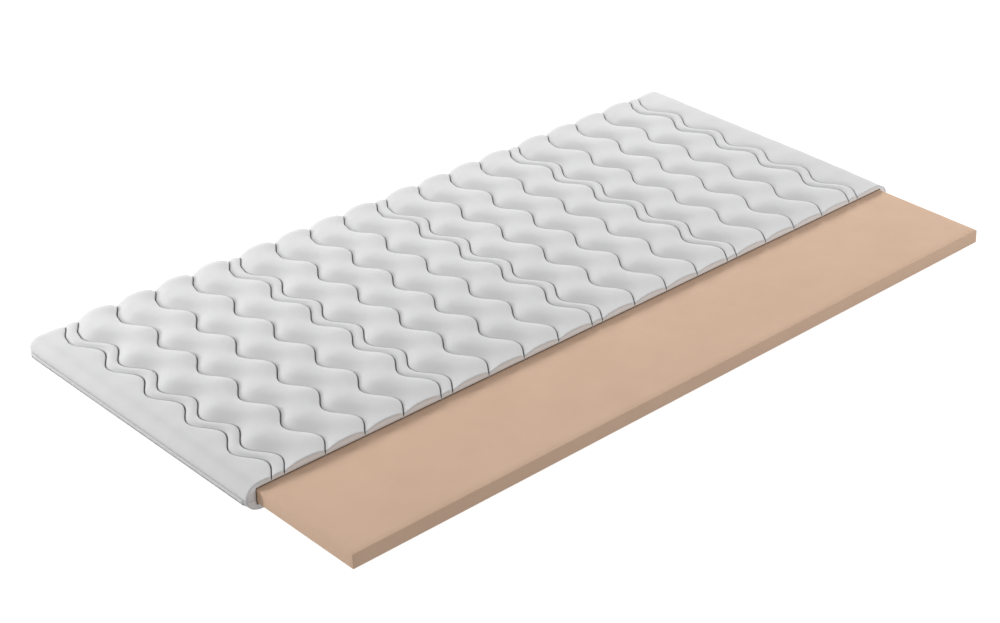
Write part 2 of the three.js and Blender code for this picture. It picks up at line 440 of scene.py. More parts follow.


# the cut face of a panel: cloth edge, wadding set back a little, and the inner cloth's edge, whose dark
# colour is painted shade
def layeredCut(shell, outerLine, outer, inner, seed):
    depth = inner - outer
    thick = np.linalg.norm(depth, axis=1, keepdims=True)
    skin = np.minimum(cover["clothThick"] / thick, cover["mostEdge"])
    lining = np.minimum(cover["liningHigh"] / thick, cover["mostEdge"])
    waddingShares = cover["waddingShares"]
    fluffX, fluffZ = outer.T * cover["fluffFineness"]
    lines = [outerLine]

    def layer(share, back):
        flat = outer + depth * share
        points = np.column_stack([flat[:, 0], np.broadcast_to(cutY + back, len(flat)), flat[:, 1]])
        lines.append(addPoints(shell, points, flat))

    layer(skin, 0.0)
    for k, share in enumerate(waddingShares):
        fluff = np.abs(uneven(fluffX, fluffZ + seed + k * cover["layerShift"], cover["fluffSize"]))
        inside = 0 < k < len(waddingShares) - 1
        layer(skin + (1 - skin - lining) * share, cover["cutRecess"] - fluff * cover["fluff"] * inside)
    layer(1 - lining, cover["liningBack"])
    layer(1.0, cover["liningBack"])
    last = len(lines) - 1
    for k in range(last):
        look = 2 if k >= last - 2 else 1  # the inner cloth's edge, painted dark as shade, is the last of the cut
        smooth = look == 1 and k > 1  # the outer cloth's edge and the step behind it stay sharp
        bridge(shell, lines[k], lines[k + 1], look, smooth)
    return lines


# the walls round the foam's room, with the face along the foam and the rim at the seam
def closeRoom(shell, lines, rim, sideCount, faceZ):
    innerLine = lines[-1]
    nearZ, farZ = (shell["points"][innerLine[k]][2] for k in (0, -1))
    backLow = addPoints(shell, [(roomNearX, roomBackY, nearZ), (roomFarX, roomBackY, farZ)])
    backHigh = addPoints(shell, [(roomNearX, roomBackY, faceZ), (roomFarX, roomBackY, faceZ)])
    nearSide = innerLine[:sideCount + 1]
    farSide = innerLine[-sideCount - 1:]
    addFace(shell, [*nearSide, backHigh[0], backLow[0]], 0, False)
    addFace(shell, [*farSide, backLow[1], backHigh[1]], 0, False)
    addFace(shell, [*backHigh, backLow[1], backLow[0]], 0, False)
    addFace(shell, [*innerLine[sideCount:-sideCount], backHigh[1], backHigh[0]], 0, False)
    startSide = [line[0] for line in reversed(lines)]
    endSide = [line[-1] for line in lines]
    addFace(shell, [*startSide, *rim, *endSide, backLow[1], backLow[0]], 0, False)


# moves the inner line's end round a roll to where lines out from the roll's centre meet the foam's
# room, and gives the number of the point at the room's corner
def meetRoom(inner, outer, part, centreX, centreZ, wallX, faceZ):
    toWall = abs(wallX - centreX)
    toFace = abs(faceZ - centreZ)
    away = outer[part] - np.array([centreX, centreZ])
    share = np.minimum(
        toWall / np.maximum(np.abs(away[:, 0]), tiny),
        toFace / np.maximum(np.abs(away[:, 1]), tiny),
    )
    found = np.array([centreX, centreZ]) + away * share[:, None]
    corner = np.array([wallX, faceZ])
    nearest = int(np.argmin(np.linalg.norm(found - corner, axis=1)))
    found[nearest] = corner
    inner[part] = found
    return nearest


# Quilted top panel

quilt = {
    "nearEndSwell": 0.017,  # the wide channels are fullest at the near end
    "farEndSwell": 0.011,
    "narrowSwell": 0.006,
    "marginSwell": 0.0065,
    "swellAtCut": 0.66,  # the cut edge lets the channels sink to this share
    "swellRegained": 0.15,  # and this far in from it they are full again
    "swellAtBack": 1.16,
    "channelCrown": 2.2,
    "marginCrown": 5.0,
    "gentleSide": 1.15,  # a channel rises gently on its near side and drops steeply on its far side
    "steepSide": 0.55,
    "firstLine": 0.0492,
    "lineSpacing": 0.1054,
    "doubleSpacing": 0.0328,
    "doubleLines": 5,
    "singlesBetween": 3,
    "waveLength": 0.16,
    "waveSwing": 0.0188,
    "firstCrest": 0.0557,
    "drawnOut": 0.013,  # the last wave is drawn out by this much, between two places along the cloth
    "drawnFrom": 0.785,
    "drawnTo": 0.822,
    "cleftDepth": 0.0074,
    "gentleCleft": 0.0022,  # how far from its line the cleft opens on either side
    "steepCleft": 0.0015,
    "paintedShadeReach": 0.0028,  # and how far the shade painted into the cloth's colour reaches
    "swellDip": 0.5,  # how much of a slanting channel's lost width its swell loses too
    "swellFade": 2.5,  # how late the swell, the clefts and the unevenness fade out down the roll
    "cleftFade": 4,
    "unevenFade": 6,
    "unevenness": 0.0008,
    "unevenSize": 0.07,
    "pullReach": 0.016,
    "rowsPerWave": 24,
    "rollSteps": 12,
    "besideLine": (0.0004, 0.0008, 0.0013, 0.0021, 0.0034, 0.0056, 0.009, 0.0138, 0.0205, 0.0285, 0.038),
    "channelFilled": 0.88,  # the share of half a channel, and of a margin, that takes those places
    "marginFilled": 0.9,
    "cutSeed": 0.0,
}


def stitchLines():
    lines = []
    x = foamLow.x + quilt["firstLine"]
    for k in range(quilt["doubleLines"]):
        lines.extend([x, x + quilt["doubleSpacing"]])
        x = lines[-1]
        if k < quilt["doubleLines"] - 1:
            lines.extend(x + quilt["lineSpacing"] * (j + 1) for j in range(quilt["singlesBetween"]))
            x = lines[-1] + quilt["lineSpacing"]
    return lines


# Places across a channel, from -1 at one line to 1 at the other, closest together beside the lines.
def channelStations(half):
    steps = [d for d in quilt["besideLine"] if d < half * quilt["channelFilled"]]
    left = [-1 + d / half for d in steps]
    return [*left, 0.0, *[-s for s in reversed(left)]]


# how far a wide channel swells at this place along the length
def wideSwell(x):
    return float(np.interp(x, (foamLow.x, foamHigh.x), (quilt["nearEndSwell"], quilt["farEndSwell"])))


# the columns of a margin, from the seam over the roll to its stitch line; side is -1 at the near end
def marginColumns(start, end, side):
    half = abs(end - start)
    steps = quilt["rollSteps"]
    swell = quilt["marginSwell"]
    rolls = [(start, 0.0, 0.0, swell, half, side * k / steps, 1.0) for k in range(steps, -1, -1)]
    shares = [1 - d / half for d in quilt["besideLine"] if d < half * quilt["marginFilled"]]
    rows = [(start + (end - start) * s, s, -side * s, swell, half, 0.0, 1.0) for s in reversed(shares)]
    return [*rolls, *rows]


# One column for each place along the mattress: where it lies, how far it swings with the waves, where it
# stands in its channel, how far the channel swells, half the channel's width, how far it is rolled, and
# 1 in a margin.
def quiltColumns():
    lines = stitchLines()
    columns = marginColumns(nearX, lines[0], -1)
    for x, after in zip(lines, lines[1:]):
        half = (after - x) / 2
        narrow = half < quilt["lineSpacing"] / 4
        swell = quilt["narrowSwell"] if narrow else wideSwell(x + half)
        for station in (-1.0, *channelStations(half)):
            columns.append((x + half * (1 + station), 1.0, station, swell, half, 0.0, 0.0))
    columns.append((lines[-1], 1.0, 1.0, 0.0, quilt["lineSpacing"] / 2, 0.0, 0.0))
    columns.extend(reversed(marginColumns(farX, lines[-1], 1)))
    return np.array(columns).T


# One row for each place across the mattress: how far it is along the cloth, where it lies, and how far
# it is rolled.
def quiltRows():
    flat = backY - cutY
    steps = math.ceil(flat * quilt["rowsPerWave"] / quilt["waveLength"])
    rows = [(flat * k / steps, cutY + flat * k / steps, 0.0) for k in range(steps + 1)]
    for k in range(1, quilt["rollSteps"] + 1):
        share = k / quilt["rollSteps"]
        rows.append((flat + rollLength * share, backY, share))
    return np.array(rows).T


# the share of its swell that a channel has at this place across the mattress
def swellShare(along):
    cutEdge = np.clip(along / quilt["swellRegained"], 0, 1)
    share = quilt["swellAtCut"] + (1 - quilt["swellAtCut"]) * cutEdge ** 2 * (3 - 2 * cutEdge)
    return share * np.interp(along, (0.0, backY - cutY), (1.0, quilt["swellAtBack"]))


# where the unquilted cover is at this share of its roll, out from the roll's start and up from the
# floor, and which way it faces there
def rollShape(roll):
    angle = roll * math.pi / 2
    outward = np.sin(angle) / rollReach
    upward = np.cos(angle) / topRise
    length = np.hypot(outward, upward)
    out = rollReach * np.sin(angle) - seamTuck(1 - roll)
    return out, seamZ + topRise * np.cos(angle), outward / length, upward / length


# the panel as it would lie unquilted, with what the quilting needs to know as attributes
def unquiltedPanel():
    x, swing, station, swell, half, across, isMargin = (c[None, :] for c in quiltColumns())
    along, y, down = (r[:, None] for r in quiltRows())
    size = (along.shape[0], x.shape[1])
    side = np.abs(across)
    roll = np.maximum(side, down)
    eighth = math.pi / 4
    turn = np.where(
        side >= down,
        eighth * down / np.maximum(side, tiny),
        2 * eighth - eighth * side / np.maximum(down, tiny),
    )
    turn = np.where(roll > 0, turn, 0.0)
    out, height, outward, upward = rollShape(roll)
    out = out * cornerReach(turn)
    placeX = x + np.sign(across) * out * np.cos(turn)
    points = np.stack(np.broadcast_arrays(placeX, y + out * np.sin(turn), height), -1)
    sideways = np.sign(across) * outward * np.cos(turn)
    normals = np.stack(np.broadcast_arrays(sideways, outward * np.sin(turn), upward), -1)
    slack = uneven(points[..., 0], points[..., 1], quilt["unevenSize"]) * quilt["unevenness"]
    facts = {
        "along": along,
        "swing": swing,
        "station": station,
        "swell": swell * (1 - roll ** quilt["swellFade"]) * swellShare(along),
        "channelHalf": half,
        "cleftHold": 1 - roll ** quilt["cleftFade"],
        "isMargin": isMargin,
        "flatX": x + rollLength * across,
        "slack": slack * (1 - roll ** quilt["unevenFade"]),
    }
    mesh = bpy.data.meshes.new("unquilted")
    index = np.arange(size[0] * size[1]).reshape(size)
    faces = np.stack([index[:-1, :-1], index[:-1, 1:], index[1:, 1:], index[1:, :-1]], -1).reshape(-1, 4)
    mesh.from_pydata(points.reshape(-1, 3), [], faces)
    for name, values in facts.items():
        addValues(mesh, name, np.broadcast_to(values, size))
    addValues(mesh, "outward", normals, "FLOAT_VECTOR", "vector")
    return linkObject("unquilted", mesh), size


# an input's label: waveLength becomes Wave Length
def labelOf(key):
    return "".join(" " + letter if letter.isupper() else letter for letter in key).title()


# a tree with an input for each of its sizes and for the material, and the inputs' identifiers
def newTree(name, sizes):
    tree = bpy.data.node_groups.new(name, "GeometryNodeTree")
    labels = tree.interface
    labels.new_socket("Geometry", in_out="INPUT", socket_type="NodeSocketGeometry")
    sockets = {}
    for key, value in sizes.items():
        socket = labels.new_socket(labelOf(key), in_out="INPUT", socket_type="NodeSocketFloat")
        socket.default_value = value
        sockets[key] = socket.identifier
    finish = labels.new_socket("Material", in_out="INPUT", socket_type="NodeSocketMaterial")
    sockets["material"] = finish.identifier
    labels.new_socket("Geometry", in_out="OUTPUT", socket_type="NodeSocketGeometry")
    return tree, tree.nodes.new("NodeGroupInput"), sockets


def finishTree(tree, source, geometry):
    real = addNode(tree, "GeometryNodeRealizeInstances", {"Geometry": geometry})
    dressed = addNode(
        tree, "GeometryNodeSetMaterial",
        {"Geometry": real.outputs["Geometry"], "Material": source.outputs["Material"]},
    )
    addNode(tree, "NodeGroupOutput", {0: dressed.outputs["Geometry"]})


# runs a tree on an object and gives what it makes as a plain mesh
def runTree(piece, tree, sockets, values):
    modifier = piece.modifiers.new(tree.name, "NODES")
    modifier.node_group = tree
    for key, value in values.items():
        modifier[sockets[key]] = value
    depsgraph = bpy.context.evaluated_depsgraph_get()
    made = bpy.data.meshes.new_from_object(
        piece.evaluated_get(depsgraph), preserve_all_data_layers=True, depsgraph=depsgraph,
    )
    piece.modifiers.remove(modifier)
    return made


def readFact(tree, name, kind="FLOAT"):
    node = addNode(tree, "GeometryNodeInputNamedAttribute", {"Name": name}, data_type=kind)
    return node.outputs["Attribute"]


# swings every channel along the waves, swells it between its stitch lines and sinks a cleft at each line
def quiltingTree():
    keys = (
        "waveLength", "waveSwing", "firstCrest", "drawnOut", "drawnFrom", "drawnTo", "channelCrown",
        "marginCrown", "gentleSide", "steepSide", "cleftDepth", "gentleCleft", "steepCleft", "swellDip",
    )
    tree, source, sockets = newTree("quiltingWaves", {key: quilt[key] for key in keys})

    def do(operation, *values):
        return calc(tree, operation, *values)

    # the first value where this is 0 and the second where it is 1
    def choose(first, second, which):
        return do("MULTIPLY_ADD", do("SUBTRACT", second, first), which, first)

    given = source.outputs
    drawn = addNode(
        tree, "ShaderNodeMapRange",
        {
            "Value": readFact(tree, "along"),
            "From Min": given["Drawn From"],
            "From Max": given["Drawn To"],
            "To Min": 0.0,
            "To Max": given["Drawn Out"],
        },
        interpolation_type="SMOOTHSTEP",
    )
    along = do("SUBTRACT", readFact(tree, "along"), drawn.outputs["Result"])
    turns = do("DIVIDE", do("SUBTRACT", along, given["First Crest"]), given["Wave Length"])
    angle = do("MULTIPLY", turns, 2 * math.pi)
    shift = do("MULTIPLY", do("MULTIPLY", do("COSINE", angle), given["Wave Swing"]), readFact(tree, "swing"))
    steepest = do("DIVIDE", do("MULTIPLY", given["Wave Swing"], 2 * math.pi), given["Wave Length"])
    slope = do("MULTIPLY", do("SINE", angle), steepest)
    squeeze = do("DIVIDE", 1.0, do("SQRT", do("MULTIPLY_ADD", slope, slope, 1.0)))
    dip = do("SUBTRACT", 1.0, do("MULTIPLY", do("SUBTRACT", 1.0, squeeze), given["Swell Dip"]))
    isSteep = do("GREATER_THAN", readFact(tree, "station"), 0.0)
    station = do("ABSOLUTE", readFact(tree, "station"))
    crown = choose(given["Channel Crown"], given["Margin Crown"], readFact(tree, "isMargin"))
    rounded = do("MAXIMUM", do("SUBTRACT", 1.0, do("POWER", station, crown)), 0.0)
    shape = do("POWER", rounded, choose(given["Gentle Side"], given["Steep Side"], isSteep))
    swell = do("MULTIPLY", do("MULTIPLY", readFact(tree, "swell"), shape), dip)
    away = do("MULTIPLY", do("SUBTRACT", 1.0, station), readFact(tree, "channelHalf"))
    opening = choose(given["Gentle Cleft"], given["Steep Cleft"], isSteep)
    inside = do("MINIMUM", do("DIVIDE", away, opening), 1.0)
    sunk = do("MULTIPLY_ADD", do("COSINE", do("MULTIPLY", inside, math.pi)), 0.5, 0.5)
    cleft = do("MULTIPLY", do("MULTIPLY", sunk, given["Cleft Depth"]), readFact(tree, "cleftHold"))
    lift = do("ADD", do("SUBTRACT", swell, cleft), do("MULTIPLY", readFact(tree, "slack"), shape))
    push = addNode(
        tree, "ShaderNodeVectorMath",
        {0: readFact(tree, "outward", "FLOAT_VECTOR"), "Scale": lift}, operation="SCALE",
    )
    sideways = addNode(tree, "ShaderNodeCombineXYZ", {"X": shift})
    offset = addNode(
        tree, "ShaderNodeVectorMath",
        {0: push.outputs["Vector"], 1: sideways.outputs["Vector"]}, operation="ADD",
    )
    moved = addNode(
        tree, "GeometryNodeSetPosition",
        {"Geometry": given["Geometry"], "Offset": offset.outputs["Vector"]},
    )
    finishTree(tree, source, moved.outputs["Geometry"])
    return tree, sockets


# how far a stitch line is swung to the side at this place along the cloth
def waveShift(along):
    share = np.clip((along - quilt["drawnFrom"]) / (quilt["drawnTo"] - quilt["drawnFrom"]), 0, 1)
    place = along - quilt["drawnOut"] * share ** 2 * (3 - 2 * share)
    return quilt["waveSwing"] * np.cos(2 * math.pi * (place - quilt["firstCrest"]) / quilt["waveLength"])


def makeTopPanel():
    flat, size = unquiltedPanel()
    tree, sockets = quiltingTree()
    quilted = runTree(flat, tree, sockets, {"material": materials["quiltedCloth"]})
    bpy.data.objects.remove(flat)
    count = size[0] * size[1]
    points = np.empty(count * 3, dtype=np.float32)
    quilted.vertices.foreach_get("co", points)
    points = points.reshape(count, 3)

    def fact(name):
        values = np.empty(count, dtype=np.float32)
        quilted.attributes[name].data.foreach_get("value", values)
        return values.reshape(size)

    along = fact("along")
    cloth = np.stack([fact("flatX") + fact("swing") * waveShift(along), along], -1).reshape(-1, 2)
    away = (1 - np.abs(fact("station"))) * fact("channelHalf")
    shell = newShell()
    index = np.array(addPoints(shell, points, cloth)).reshape(size)
    for row in range(size[0] - 1):
        bridge(shell, index[row], index[row + 1])
    outer = points.reshape(*size, 3)[0][:, [0, 2]].astype(float)
    faceZ = foamHigh.z + cover["fitGap"]
    inner = np.column_stack([outer[:, 0], np.full(size[1], faceZ)])
    steps = quilt["rollSteps"] + 1
    sideCount = meetRoom(inner, outer, slice(None, steps), nearX, seamZ, roomNearX, faceZ)
    meetRoom(inner, outer, slice(-steps, None), farX, seamZ, roomFarX, faceZ)
    lines = layeredCut(shell, list(index[0]), outer, inner, quilt["cutSeed"])
    rim = [*index[1:, 0], *index[-1, 1:], *index[-2:0:-1, -1]]
    closeRoom(shell, lines, rim, sideCount, faceZ)
    # the inner cloth's edge takes the dark painted-shade finish
    looks = [materials[k] for k in ("quiltedCloth", "waddingFibre", "liningPaintedShade")]
    piece = shellToPiece("coverTopPanel", shell, looks)
    hidden = np.zeros(len(piece.data.vertices) - count)
    pull = np.exp(-away.ravel() / quilt["pullReach"])
    # painted shade: how much the cloth's colour darkens near each stitch line
    paintedShadeShare = np.clip(1 - away.ravel() / quilt["paintedShadeReach"], 0, 1)
    for name, values in (("stitchPull", pull), ("paintedCleftShade", paintedShadeShare)):
        addValues(piece.data, name, np.concatenate([values, hidden]))
    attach(piece, "root")
    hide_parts("cover_top_panel")
    return piece


topPanel = makeTopPanel()
print("top panel quilted,", len(topPanel.data.polygons), "faces")


# Bottom panel

tray = {
    "leastReach": 0.0005,
    "sideSpacing": 0.02,
    "cornerSteps": 10,
    "profileSteps": 14,
    "faceSpacing": 0.03,
    "thickness": 0.016,
    "unevenness": 0.0005,
    "unevenSize": 0.06,
    "unevenTurn": (1.3, 0.7),  # lays its waves at an angle to the sides
    "clothPerReach": 1.5,  # the cloth down the side, as a share of how far the roll reaches
    "cutSeed": 3.0,
}


# Stations round the three rolled sides: where the roll's centre line is and which way is out.
def trayStations():
    sideSteps = round((backY - cutY) / tray["sideSpacing"])
    backSteps = round((farX - nearX) / tray["sideSpacing"])
    quarter = math.pi / 2
    corners = (
        (nearX, cutY, 2 * quarter),
        (nearX, backY, 2 * quarter),
        (nearX, backY, quarter),
        (farX, backY, quarter),
        (farX, backY, 0.0),
        (farX, cutY, 0.0),
    )
    counts = (sideSteps, tray["cornerSteps"], backSteps, tray["cornerSteps"], sideSteps)
    legs = zip(corners, corners[1:], counts)
    return np.vstack([*[np.linspace(a, b, count, endpoint=False) for a, b, count in legs], corners[-1]])


# out from the roll's centre line and height, at a share of the way from the seam down to the underside
def trayProfile(share, proud=0.0):
    angle = share * math.pi / 2
    out = (rollReach + proud) * np.cos(angle) - seamTuck(share)
    height = trayHigh.z - (trayHigh.z - trayLow.z + proud) * np.sin(angle)
    return np.maximum(out, tray["leastReach"]), height


def makeBottomPanel():
    stations = trayStations()
    shares = np.linspace(0, 1, tray["profileSteps"] + 1)
    out, height = trayProfile(shares)
    x, y, turn = (s[:, None] for s in stations.T)
    turnX, turnY = tray["unevenTurn"]
    slack = uneven(x * turnX + y, y - x * turnY, tray["unevenSize"]) * tray["unevenness"]
    reach = (out + slack * np.sin(shares * math.pi) ** 2) * cornerReach(turn)
    points = np.stack(np.broadcast_arrays(x + reach * np.cos(turn), y + reach * np.sin(turn), height), -1)
    steps = np.linalg.norm(np.diff(points[:, 0], axis=0), axis=1)
    way = np.concatenate([[0.0], np.cumsum(steps)])[:, None]
    cloth = np.stack(np.broadcast_arrays(way, shares * rollReach * tray["clothPerReach"]), -1)
    shell = newShell()
    numbers = addPoints(shell, points.reshape(-1, 3), cloth.reshape(-1, 2))
    index = np.array(numbers).reshape(points.shape[:2])
    for k in range(len(stations) - 1):
        bridge(shell, index[k], index[k + 1])
    lowCount = round((farX - nearX) / tray["faceSpacing"])
    lowX = np.linspace(points[0, -1, 0], points[-1, -1, 0], lowCount)[1:-1]
    low = addPoints(shell, [(v, cutY, trayLow.z) for v in lowX])
    outerLine = [*index[0], *low, *index[-1][::-1]]
    outer = np.array([(shell["points"][k][0], shell["points"][k][2]) for k in outerLine])
    faceZ = trayLow.z + tray["thickness"]
    inner = np.column_stack([outer[:, 0], np.full(len(outer), faceZ)])
    count = len(shares)
    sideCount = meetRoom(inner, outer, slice(None, count), nearX, trayHigh.z, roomNearX, faceZ)
    meetRoom(inner, outer, slice(-count, None), farX, trayHigh.z, roomFarX, faceZ)
    lines = layeredCut(shell, outerLine, outer, inner, tray["cutSeed"])
    closeRoom(shell, lines, list(index[1:-1, 0]), sideCount, faceZ)
    addFace(shell, [*index[:, -1], *reversed(low)], 0, False)
    # the inner cloth's edge takes the dark painted-shade finish
    looks = [materials[k] for k in ("plainCloth", "waddingFibre", "liningPaintedShade")]
    piece = shellToPiece("coverBottomPanel", shell, looks)
    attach(piece, "root")
    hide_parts("cover_bottom_panel")
    return piece


bottomPanel = makeBottomPanel()
print("bottom panel made,", len(bottomPanel.data.polygons), "faces")


# Foam core

foam = {
    "edgeRound": 0.0016,
    "edgeLoop": 0.0005,
    "spacing": 0.02,
    "leastSteps": 3,
    "unevenness": 0.0002,
    "unevenSize": 0.05,
}


# places along one side of the slab, close together at its two edges
def slabPlaces(low, high):
    edge = foam["edgeRound"]
    loop = foam["edgeLoop"]
    count = max(foam["leastSteps"], round((high - low) / foam["spacing"]))
    return np.array([low, low + loop, *np.linspace(low + edge, high - edge, count), high - loop, high])


def makeFoam():
    places = [slabPlaces(foamLow[k], foamHigh[k]) for k in range(3)]
    counts = [len(p) for p in places]
    numbers = {}
    shell = newShell()

    def point(i, j, k):
        if (i, j, k) not in numbers:
            numbers[(i, j, k)] = addPoints(shell, [(places[0][i], places[1][j], places[2][k])])[0]
        return numbers[(i, j, k)]

    for axis in range(3):
        one, two = (axis + 1) % 3, (axis + 2) % 3
        for end in (0, counts[axis] - 1):
            for a in range(counts[one] - 1):
                for b in range(counts[two] - 1):
                    corners = []
                    for da, db in ((0, 0), (1, 0), (1, 1), (0, 1)):
                        place = [0, 0, 0]
                        place[axis] = end
                        place[one] = a + da
                        place[two] = b + db
                        corners.append(point(*place))
                    addFace(shell, corners)
    spots = np.array(shell["points"])
    edge = foam["edgeRound"]
    core = np.clip(spots, np.array(foamLow) + edge, np.array(foamHigh) - edge)
    away = spots - core
    away /= np.maximum(np.linalg.norm(away, axis=1, keepdims=True), tiny)
    x, y, z = spots.T
    dent = np.abs(uneven(x + z, y - z, foam["unevenSize"])) * foam["unevenness"]
    shell["points"] = [tuple(p) for p in core + away * (edge - dent[:, None])]
    piece = shellToPiece("foamCore", shell, [materials["openCellFoam"]])
    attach(piece, "root")
    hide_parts("foam_core")
    return piece


foamCore = makeFoam()
print("foam core made,", len(foamCore.data.polygons), "faces")


# Stitches

rodSides = 5


# a short bent rod, about round in section, at every step along each path
def rodsAlongPaths(tree, source, step, bend, bendSteps, thick, **placing):
    path = addNode(tree, "GeometryNodeMeshToCurve", {"Mesh": source.outputs["Geometry"]})
    spots = addNode(
        tree, "GeometryNodeCurveToPoints",
        {"Curve": path.outputs["Curve"], "Length": step}, mode="LENGTH",
    )
    start, middle, end = (addNode(tree, "ShaderNodeCombineXYZ", place).outputs[0] for place in bend)
    arc = addNode(
        tree, "GeometryNodeCurveQuadraticBezier",
        {"Resolution": bendSteps, "Start": start, "Middle": middle, "End": end},
    )
    ring = addNode(tree, "GeometryNodeCurvePrimitiveCircle", {"Resolution": rodSides, "Radius": thick})
    rod = addNode(
        tree, "GeometryNodeCurveToMesh",
        {"Curve": arc.outputs["Curve"], "Profile Curve": ring.outputs["Curve"], "Fill Caps": True},
    )
    placing["Points"] = spots.outputs["Points"]
    placing["Instance"] = rod.outputs["Mesh"]
    placing["Rotation"] = spots.outputs["Rotation"]
    placed = addNode(tree, "GeometryNodeInstanceOnPoints", placing)
    finishTree(tree, source, placed.outputs["Instances"])


quiltStitch = {"pitch": 0.0062, "thread": 0.00038, "shownShare": 0.74, "dip": 0.0004}
threadLift = 0.0006  # the thread lies this far above the cleft's bottom


# short runs of thread that dip into the cloth at both ends
def stitchTree():
    tree, source, sockets = newTree("stitchRun", quiltStitch)
    given = source.outputs
    shown = calc(tree, "MULTIPLY", given["Pitch"], given["Shown Share"])
    half = calc(tree, "MULTIPLY", shown, 0.5)
    sunk = calc(tree, "MULTIPLY", given["Dip"], -1.0)
    bend = ({"Y": sunk, "Z": calc(tree, "MULTIPLY", half, -1.0)}, {"Y": given["Dip"]}, {"Y": sunk, "Z": half})
    rodsAlongPaths(tree, source, given["Pitch"], bend, 3, given["Thread"])
    return tree, sockets


def pathsToObject(name, paths):
    points = []
    edges = []
    for path in paths:
        start = len(points)
        points.extend([tuple(map(float, p)) for p in path])
        edges.extend((start + k, start + k + 1) for k in range(len(path) - 1))
    mesh = bpy.data.meshes.new(name)
    mesh.from_pydata(points, edges, [])
    return linkObject(name, mesh)


# runs a tree along paths and gives the smooth mesh that it makes
def meshAlongPaths(name, paths, tree, sockets, values):
    route = pathsToObject(name + "Route", paths)
    mesh = runTree(route, tree, sockets, values)
    bpy.data.objects.remove(route)
    mesh.name = name
    mesh.polygons.foreach_set("use_smooth", [True] * len(mesh.polygons))
    return mesh


def makeStitches(name, paths, values):
    tree, sockets = stitchTools
    mesh = meshAlongPaths(name, paths, tree, sockets, {"material": materials["stitchThread"], **values})
    piece = linkObject(name, mesh)
    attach(piece, "root")
    return piece


# the route of each stitch line along the bottom of its cleft, down to the seam on the far long side
def quiltRoutes():
    along, y, down = (r[:-1] for r in quiltRows())
    out, height, outward, upward = rollShape(down)
    sunk = threadLift - quilt["cleftDepth"] * (1 - down ** quilt["cleftFade"])
    placeY = y + out + sunk * outward
    placeZ = height + sunk * upward
    return [np.column_stack([x + waveShift(along), placeY, placeZ]) for x in stitchLines()]


stitchTools = stitchTree()
quiltStitches = makeStitches("quiltStitches", quiltRoutes(), quiltStitch)
print("quilting stitched,", len(quiltStitches.data.polygons), "faces")


# Zip strip

zipStrip = {
    "top": 0.0273,
    "bottom": 0.011,
    "cornerTurn": math.pi / 4,  # the strip runs this far round the corner
    "tapeThick": 0.0009,
    "acrossSteps": 12,
    "alongSpacing": 0.006,
    "raggedEnd": 0.0014,
    "raggedSize": 0.09,
    "raggedTurn": (40, 11),
    "raggedFade": 40,  # the higher, the nearer to the tape's cut end
    "ripple": 0.00025,
    "ripples": 95,
    "rippleTurn": 2,
    "coilSpare": 0.002,  # the coil runs past the tape's cut end
    "coilPoints": 60,
    "stitchSpare": 0.003,
    "stitchPoints": 80,
    "stitchInset": 0.045,  # the stitches' distance from the tape's edges, as a share of the roll
    "stitchProud": 0.0001,
}
coil = {
    "pitch": 0.0015,
    "toothLength": 0.0058,
    "toothThick": 0.00045,
    "rise": 0.0017,
    "over": 0.45,  # where a tooth ends, as shares of half its length and of the pitch
    "forward": 0.2,
}
tapeStitch = {"pitch": 0.003, "thread": 0.00022, "shownShare": 0.7, "dip": 0.0002}


# the share of the way down the side at a given height
def shareAt(height):
    return math.asin(1 - (height - trayLow.z) / (trayHigh.z - trayLow.z)) / (math.pi / 2)


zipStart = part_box("zip_strip")[0].y
zipEnd = backY + rollReach * zipStrip["cornerTurn"]
zipTopShare = shareAt(zipStrip["top"])
zipLowShare = shareAt(zipStrip["bottom"])
tapeProud = cover["fitGap"] + zipStrip["tapeThick"]


# a place on the near side or round its far corner, proud of the bottom panel
def sidePlace(share, along, proud):
    out, height = trayProfile(np.asarray(share, dtype=float), proud)
    turn = np.maximum(along - backY, 0) / rollReach
    out = out * cornerReach(turn)
    y = np.minimum(along, backY) + out * np.sin(turn)
    return np.column_stack(np.broadcast_arrays(nearX - out * np.cos(turn), y, height))


# The tape: a thin strip with a slight ripple, its cut end a little ragged.
def makeTape():
    shares = np.linspace(zipTopShare, zipLowShare, zipStrip["acrossSteps"] + 1)
    steps = round((zipEnd - zipStart) / zipStrip["alongSpacing"])
    places = np.linspace(0, 1, steps + 1)
    turnX, turnY = zipStrip["raggedTurn"]
    ragged = uneven(shares * turnX, shares * turnY, zipStrip["raggedSize"]) * zipStrip["raggedEnd"]
    width = np.linalg.norm(sidePlace(zipTopShare, 0, 0) - sidePlace(zipLowShare, 0, 0))
    shell = newShell()
    sheets = []
    for proud in (tapeProud, cover["fitGap"]):
        rows = []
        for place in places:
            y = zipStart + (zipEnd - zipStart) * place + ragged * (1 - place) ** zipStrip["raggedFade"]
            ripple = np.sin(place * zipStrip["ripples"] + shares * zipStrip["rippleTurn"])
            points = sidePlace(shares, y, proud + np.abs(zipStrip["ripple"] * ripple))
            flat = np.column_stack([np.linspace(0, width, len(shares)), y])
            rows.append(addPoints(shell, points, flat))
        sheets.append(rows)
    front, back = sheets
    for k in range(steps):
        bridge(shell, front[k], front[k + 1])
        bridge(shell, back[k], back[k + 1])
        for side in (0, -1):
            addFace(shell, (front[k][side], front[k + 1][side], back[k + 1][side], back[k][side]), 0, False)
    bridge(shell, front[0], back[0], 0, False)
    bridge(shell, front[-1], back[-1], 0, False)
    piece = shellToPiece("zipTape", shell, [materials["tapeWeave"]])
    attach(piece, "root")
    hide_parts("zip_strip")
    return piece, width


